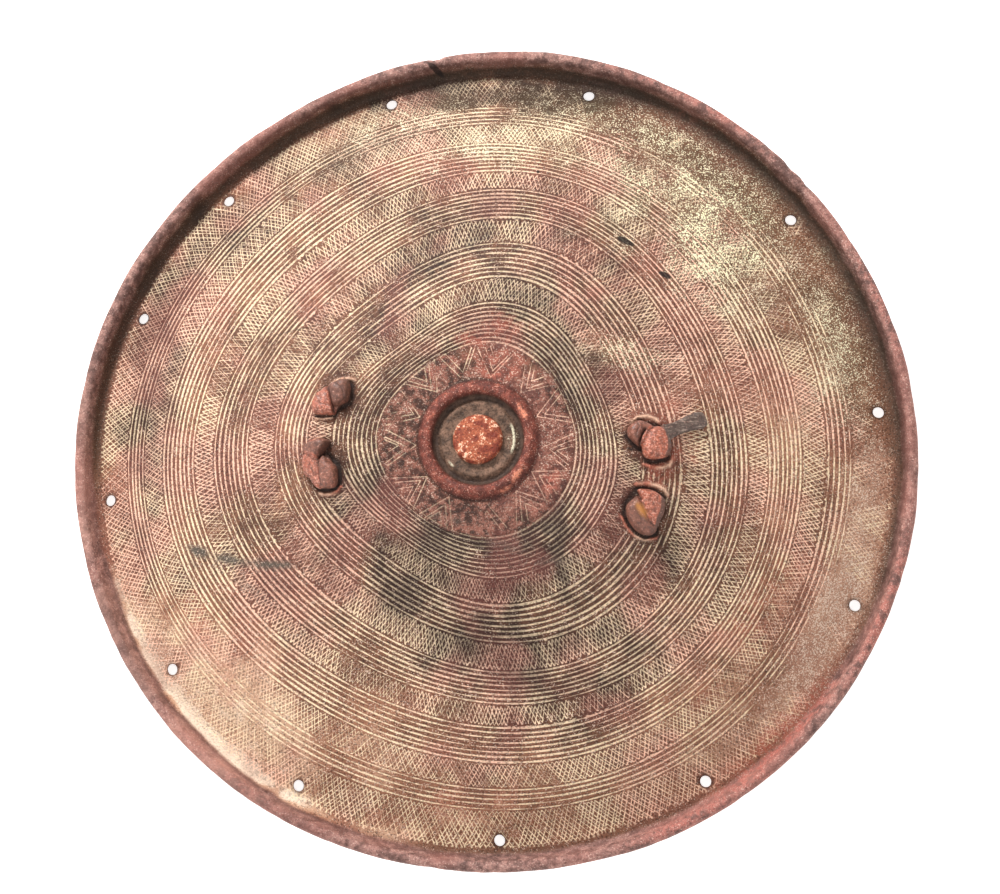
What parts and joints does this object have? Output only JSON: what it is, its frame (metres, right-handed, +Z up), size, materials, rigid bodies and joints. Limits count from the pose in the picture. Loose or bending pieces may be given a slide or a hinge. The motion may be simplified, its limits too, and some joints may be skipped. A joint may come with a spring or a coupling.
{
  "type": "hide buckler shield",
  "caption": "Round buckler of thick moulded hide: shallow dome with a boss, worked ring bands, an upturned rim and a laced hand grip behind.",
  "frame": {"origin": "middle of the outline, on the surface that the shield lies on", "axes": "+Z up through the boss, the front of the shield; +X to the side of the knot with the loose end; +Y to the side where the upper pair of knots sits"},
  "size_m": [0.3638, 0.3572, 0.0644],
  "materials": {
    "worked_hide": "dry, hard, matt hide with rubbed ridges and dirt in the lines",
    "thong_hide": "red-brown handled hide strip, slightly polished"
  },
  "bodies": {
    "root": {"shield_body": "worked_hide", "hand_grip": "thong_hide"}
  },
  "joints": []
}
